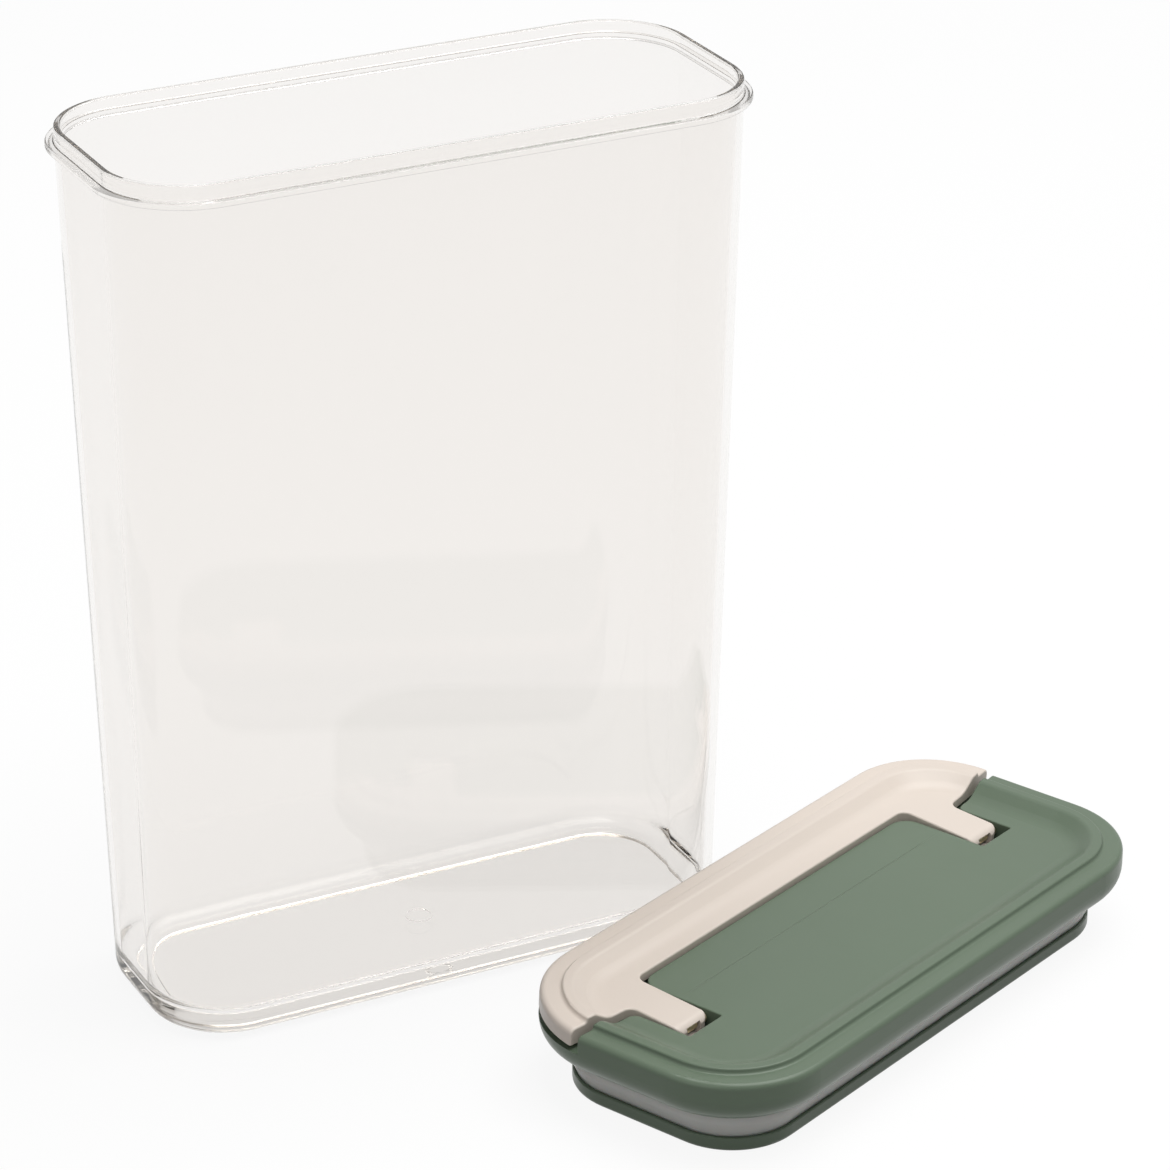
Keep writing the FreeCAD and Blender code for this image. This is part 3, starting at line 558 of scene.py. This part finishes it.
class STORAGEJAR_OT_plastics(bpy.types.Operator):
    """Gives the cover, plate, lever and posts their moulded plastics"""
    bl_idname = "storage_jar.plastics"
    bl_label = "Lid plastics"

    def execute(self, context):
        finishes = context.scene.storage_jar.finishes
        green, green_shader = moulded("Sage green plastic", finishes.green, roughness=(0.28, 0.36),
                                      grain_scale=FINE_GRAIN, grain_strength=0.04)
        beige, beige_shader = moulded("Beige plastic", finishes.beige, roughness=(0.3, 0.4),
                                      grain_scale=FINE_GRAIN, grain_strength=0.04, cloudiness=0.02)
        white = moulded("White plastic", finishes.white, roughness=(0.35, 0.45),
                        grain_scale=FINE_GRAIN, grain_strength=0.1, cloudiness=0.02)[0]
        green_shader.inputs["Specular IOR Level"].default_value = GREEN_GLOSS
        beige_shader.inputs["Specular IOR Level"].default_value = BEIGE_GLOSS
        self.panel_line(green, green_shader, context.scene.storage_jar.line)
        for name in ("lid_cover", "under_cover", "base_plate"):
            dressed(frame["nodes"][name], green)
        dressed(frame["nodes"]["flip_lever"], beige)
        for name in ("left_pull_post", "right_pull_post"):
            dressed(frame["nodes"][name], white)
        return {"FINISHED"}

    def panel_line(self, material, shader, sizes):
        """Faint groove along the panel, between the lever's arms."""
        nodes, links = material.node_tree.nodes, material.node_tree.links
        where = nodes.new("ShaderNodeTexCoord")
        lid = nodes.new("ShaderNodeMapping")
        lid.vector_type = "TEXTURE"
        lid.inputs["Location"].default_value = (LID_PLACE.x, LID_PLACE.y, 0)
        lid.inputs["Rotation"].default_value = (0, 0, LID_TURN)
        parts = nodes.new("ShaderNodeSeparateXYZ")
        links.new(where.outputs["Object"], lid.inputs["Vector"])
        links.new(lid.outputs["Vector"], parts.inputs["Vector"])
        across = near(material, parts.outputs["Y"], sizes.place, 0, sizes.width)
        along = near(material, parts.outputs["X"], 0, sizes.reach - sizes.fade, sizes.reach)
        above = nodes.new("ShaderNodeMath")
        above.operation = "GREATER_THAN"
        above.inputs[1].default_value = sizes.low
        links.new(parts.outputs["Z"], above.inputs[0])
        depth = across
        for limit in (along, above.outputs["Value"]):
            share = nodes.new("ShaderNodeMath")
            share.operation = "MULTIPLY"
            links.new(depth, share.inputs[0])
            links.new(limit, share.inputs[1])
            depth = share.outputs["Value"]
        marked(material, shader, depth, LINE_STRENGTH, LINE_DEPTH, sunk=True)


class STORAGEJAR_OT_metals(bpy.types.Operator):
    """Gives the pins and screws their metals"""
    bl_idname = "storage_jar.metals"
    bl_label = "Pins and screws"

    def execute(self, context):
        finishes = context.scene.storage_jar.finishes
        brass, brass_shader = moulded("Satin brass", finishes.brass, roughness=(0.5, 0.62),
                                      grain_scale=METAL_GRAIN, grain_strength=0.05)
        steel, steel_shader = moulded("Plain steel", finishes.steel, roughness=(0.25, 0.4),
                                      grain_scale=METAL_GRAIN, grain_strength=0.08)
        for shader in (brass_shader, steel_shader):
            shader.inputs["Metallic"].default_value = 1
        for name, node in frame["nodes"].items():
            if name.endswith("pivot_pin"):
                dressed(node, brass)
            if name.endswith("follower_pin") or name.endswith("screw"):
                dressed(node, steel)
        return {"FINISHED"}


def seen_directly(tree):
    """Socket that is 1 for what the camera sees, straight on, mirrored or through the jar."""
    path = tree.nodes.new("ShaderNodeLightPath")
    total = path.outputs["Is Camera Ray"]
    for ray in ("Is Glossy Ray", "Is Transmission Ray"):
        add = tree.nodes.new("ShaderNodeMath")
        add.operation = "ADD"
        add.use_clamp = True
        tree.links.new(total, add.inputs[0])
        tree.links.new(path.outputs[ray], add.inputs[1])
        total = add.outputs["Value"]
    return total


class STORAGEJAR_OT_studio(bpy.types.Operator):
    """Sets up the floor, the light and the camera"""
    bl_idname = "storage_jar.studio"
    bl_label = "Studio"

    def execute(self, context):
        studio = context.scene.storage_jar.studio
        self.floor(context, studio)
        self.sky(context, studio)
        self.lamp(context, "Overhead lamp", studio.overhead, OVERHEAD_SIZE, OVERHEAD_PLACE)
        self.lamp(context, "Side lamp", studio.side, SIDE_SIZE, SIDE_PLACE)
        self.camera(context, studio)
        self.light_paths(context)
        context.scene.view_settings.view_transform = "Standard"
        return {"FINISHED"}

    def floor(self, context, studio):
        """Pale floor that looks white and keeps a soft shadow."""
        bm = bmesh.new()
        bmesh.ops.create_circle(bm, cap_ends=True, radius=FLOOR_RADIUS, segments=FLOOR_SIDES,
                                matrix=Matrix.Translation((0, 0, -FLOOR_DROP)))
        mesh = bpy.data.meshes.new("floor")
        bm.to_mesh(mesh)
        bm.free()
        floor = bpy.data.objects.new("floor", mesh)
        context.scene.collection.objects.link(floor)
        material = bpy.data.materials.new("Floor")
        material.use_nodes = True
        tree = material.node_tree
        nodes, links = tree.nodes, tree.links
        nodes.remove(nodes["Principled BSDF"])
        paint = nodes.new("ShaderNodeBsdfDiffuse")
        paints = nodes.new("ShaderNodeMix")
        paints.data_type = "RGBA"
        paints.inputs["A"].default_value = (*studio.bounce, 1)
        paints.inputs["B"].default_value = (*studio.floor, 1)
        glow = nodes.new("ShaderNodeEmission")
        glow.inputs["Strength"].default_value = 1
        share = nodes.new("ShaderNodeMath")
        share.operation = "MULTIPLY"
        share.inputs[1].default_value = studio.glow
        mix = nodes.new("ShaderNodeMixShader")
        seen = seen_directly(tree)
        links.new(seen, paints.inputs["Factor"])
        links.new(paints.outputs["Result"], paint.inputs["Color"])
        links.new(seen, share.inputs[0])
        links.new(share.outputs["Value"], mix.inputs["Fac"])
        links.new(paint.outputs["BSDF"], mix.inputs[1])
        links.new(glow.outputs["Emission"], mix.inputs[2])
        links.new(mix.outputs["Shader"], nodes["Material Output"].inputs["Surface"])
        floor.data.materials.append(material)

    def sky(self, context, studio):
        """Even light from all round, which the jar and the gloss see as a soft pale room."""
        world = bpy.data.worlds.new("Studio")
        world.use_nodes = True
        context.scene.world = world
        tree = world.node_tree
        nodes, links = tree.nodes, tree.links
        light = nodes["Background"]
        light.inputs["Color"].default_value = (1, 1, 1, 1)
        light.inputs["Strength"].default_value = studio.sky
        where = nodes.new("ShaderNodeTexCoord")
        parts = nodes.new("ShaderNodeSeparateXYZ")
        ramp = nodes.new("ShaderNodeValToRGB")
        horizon, room_top = ramp.color_ramp.elements
        horizon.position = 0
        horizon.color = (HORIZON_GREY, HORIZON_GREY, HORIZON_GREY, 1)
        room_top.position = ROOM_RISE
        room_top.color = (ROOM_GREY, ROOM_GREY, ROOM_GREY, 1)
        room = nodes.new("ShaderNodeBackground")
        mix = nodes.new("ShaderNodeMixShader")
        links.new(where.outputs["Generated"], parts.inputs["Vector"])
        links.new(parts.outputs["Z"], ramp.inputs["Fac"])
        links.new(ramp.outputs["Color"], room.inputs["Color"])
        links.new(seen_directly(tree), mix.inputs["Fac"])
        links.new(light.outputs["Background"], mix.inputs[1])
        links.new(room.outputs["Background"], mix.inputs[2])
        links.new(mix.outputs["Shader"], nodes["World Output"].inputs["Surface"])

    def light_paths(self, context):
        """Lets light turn often enough inside the thick clear foot."""
        paths = context.scene.cycles
        paths.max_bounces = MOST_TURNS
        paths.glossy_bounces = MOST_TURNS_OF_A_KIND
        paths.transmission_bounces = MOST_TURNS_OF_A_KIND
        paths.caustics_reflective = False
        paths.caustics_refractive = False

    def lamp(self, context, name, watts, size, place):
        """Square soft lamp that faces the object."""
        data = bpy.data.lights.new(name, "AREA")
        data.energy = watts
        data.size = size
        lamp = bpy.data.objects.new(name, data)
        lamp.location = place
        aim = (Vector(CAD_BOX[0]) + Vector(CAD_BOX[1])) / 2
        lamp.rotation_euler = (aim - lamp.location).to_track_quat("-Z", "Y").to_euler()
        context.scene.collection.objects.link(lamp)

    def camera(self, context, studio):
        """Camera at the photograph's viewing angle."""
        data = bpy.data.cameras.new("Camera")
        data.sensor_width = SENSOR_WIDTH
        data.lens = studio.lens
        data.clip_start = CLIP_START
        data.clip_end = CLIP_END
        camera = bpy.data.objects.new("Camera", data)
        camera.location = studio.camera_place
        camera.rotation_euler = (math.pi / 2 - studio.pitch, 0, studio.turn)
        context.scene.collection.objects.link(camera)
        context.scene.camera = camera


OPERATORS = (STORAGEJAR_OT_clear_jar, STORAGEJAR_OT_seal, STORAGEJAR_OT_plastics, STORAGEJAR_OT_metals,
             STORAGEJAR_OT_studio)


class STORAGEJAR_PT_sidebar(bpy.types.Panel):
    """Lists the storage jar's pieces in the sidebar"""
    bl_idname = "STORAGEJAR_PT_sidebar"
    bl_label = "Storage jar"
    bl_space_type = "VIEW_3D"
    bl_region_type = "UI"
    bl_category = "Storage Jar"

    def draw(self, context):
        for operator in OPERATORS:
            self.layout.operator(operator.bl_idname)
        for group in ("jar", "seal", "line", "finishes", "studio"):
            values = getattr(context.scene.storage_jar, group)
            box = self.layout.box()
            for name in values.__annotations__:
                box.prop(values, name)


GROUPS = (JarSizes, SealSizes, PanelLine, Finishes, Studio, StorageJar)
CLASSES = GROUPS + OPERATORS + (STORAGEJAR_PT_sidebar,)


def register():
    """Adds the add-on's classes and its values to Blender."""
    for kind in CLASSES:
        bpy.utils.register_class(kind)
    bpy.types.Scene.storage_jar = PointerProperty(type=StorageJar)


def unregister():
    """Takes the add-on's classes and its values out of Blender."""
    del bpy.types.Scene.storage_jar
    for kind in reversed(CLASSES):
        bpy.utils.unregister_class(kind)


def main():
    """Builds the looks in order."""
    register()
    bpy.ops.storage_jar.clear_jar()
    bpy.ops.storage_jar.seal()
    bpy.ops.storage_jar.plastics()
    bpy.ops.storage_jar.metals()
    bpy.ops.storage_jar.studio()


if __name__ == "__main__":
    main()
